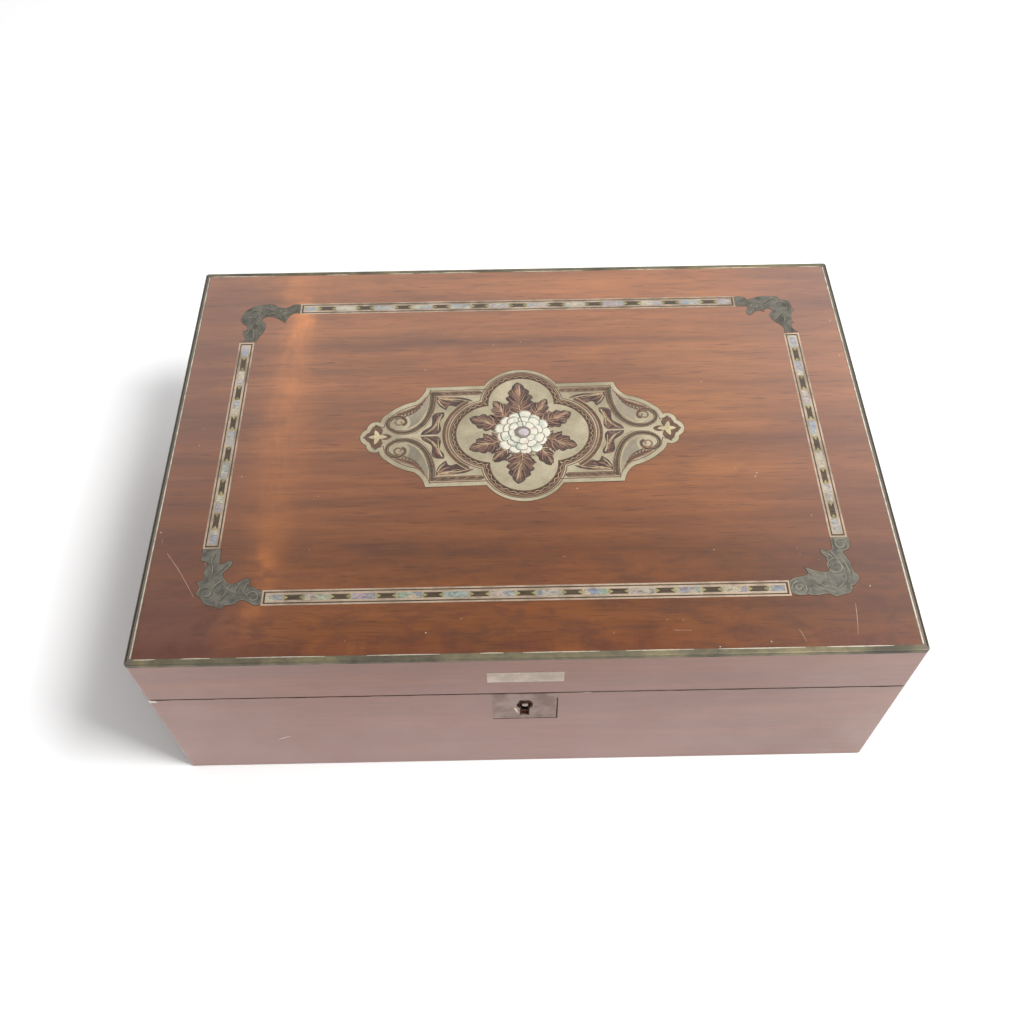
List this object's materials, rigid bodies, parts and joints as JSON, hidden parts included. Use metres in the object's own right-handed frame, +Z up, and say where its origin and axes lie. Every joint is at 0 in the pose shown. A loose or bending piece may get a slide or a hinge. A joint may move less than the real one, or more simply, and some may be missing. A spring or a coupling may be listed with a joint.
{
  "type": "inlaid writing box",
  "caption": "Wooden writing box with a hinged lid, folding writing flaps, a link lock, and brass, shell, ebony and bone inlay on the lid.",
  "frame": {"origin": "centre of the carcass's flat underside", "axes": "+Z up, -Y towards the lock, +X to the right when facing the lock"},
  "size_m": [0.356, 0.2517, 0.119],
  "materials": {
    "walnut_polish": "gloss french polish",
    "carcass_wood": "satin",
    "writing_leather": "satin",
    "edging_brass": "tarnished",
    "line_brass": "worn satin",
    "plate_brass": "engraved satin",
    "mount_metal": "tarnished dull",
    "ebony": "gloss",
    "red_brown_lacquer": "gloss",
    "shell": "iridescent gloss",
    "bone": "satin",
    "pearl": "pearl gloss",
    "hardware_brass": "satin",
    "steel": "satin",
    "bottle_glass": "clear"
  },
  "bodies": {
    "base": {"base_back_board": "carcass_wood", "base_back_veneer": "walnut_polish", "base_bottom_board": "carcass_wood", "base_front_board": "carcass_wood", "base_front_veneer": "walnut_polish", "base_ledges": "carcass_wood", "base_left_board": "carcass_wood", "base_left_veneer": "walnut_polish", "base_right_board": "carcass_wood", "base_right_veneer": "walnut_polish", "base_screws": "steel", "compartment_wall": "carcass_wood", "escutcheon_plate": "mount_metal", "hinge_base_leaves": "hardware_brass", "hinge_pins": "steel", "ink_bottle_caps": "hardware_brass", "ink_bottles": "bottle_glass", "keyhole_liner": "line_brass", "lock_case": "steel", "lock_top_plate": "hardware_brass", "pen_tray": "carcass_wood", "well_dividers": "carcass_wood"},
    "lid": {"band_brass_lines": "line_brass", "band_dark_fillets": "ebony", "band_ebony_blocks": "ebony", "band_shell_plates": "shell", "cartouche_leaves": "red_brown_lacquer", "cartouche_plate": "plate_brass", "cartouche_ring": "ebony", "cartouche_scroll_fields": "mount_metal", "cartouche_scroll_frame": "ebony", "cartouche_small_leaves": "red_brown_lacquer", "corner_mount_back_left": "mount_metal", "corner_mount_back_right": "mount_metal", "corner_mount_front_left": "mount_metal", "corner_mount_front_right": "mount_metal", "flower_inner_petals": "bone", "flower_outer_petals": "bone", "flower_pearl": "pearl", "hinge_lid_leaves": "hardware_brass", "lid_back_rail": "carcass_wood", "lid_back_veneer": "walnut_polish", "lid_edging": "edging_brass", "lid_front_rail": "carcass_wood", "lid_front_veneer": "walnut_polish", "lid_ledges": "carcass_wood", "lid_left_rail": "carcass_wood", "lid_left_veneer": "walnut_polish", "lid_right_rail": "carcass_wood", "lid_right_veneer": "walnut_polish", "lid_screws": "steel", "lid_top_board": "carcass_wood", "lid_top_veneer": "walnut_polish", "name_plate": "plate_brass", "strike_plate": "hardware_brass"},
    "base_flap": {"base_flap_board": "walnut_polish", "base_flap_leather": "writing_leather"},
    "lid_flap": {"lid_flap_board": "walnut_polish", "lid_flap_leather": "writing_leather"},
    "lock_bolt": {"lock_bolt": "steel"}
  },
  "joints": [
    {"name": "lid_hinge", "type": "hinge", "parent": "base", "child": "lid", "pos_m": [0, 0.1248, 0.059], "axis": [-1, 0, 0], "range_deg": [0, 180]},
    {"name": "base_flap_hinge", "type": "hinge", "parent": "base", "child": "base_flap", "pos_m": [0, 0.1127, 0.0591], "axis": [-1, 0, 0], "range_deg": [0, 72]},
    {"name": "lid_flap_hinge", "type": "hinge", "parent": "lid", "child": "lid_flap", "pos_m": [0, 0.1128, 0.0611], "axis": [1, 0, 0], "range_deg": [0, 54]},
    {"name": "bolt_slide", "type": "slide", "parent": "base", "child": "lock_bolt", "axis": [1, 0, 0], "range_m": [0, 0.005]}
  ],
  "couplings": [
    {"joint": "base_flap_hinge", "follows": "lid_hinge", "ratio": 0.4},
    {"joint": "lid_flap_hinge", "follows": "lid_hinge", "ratio": 0.3}
  ]
}
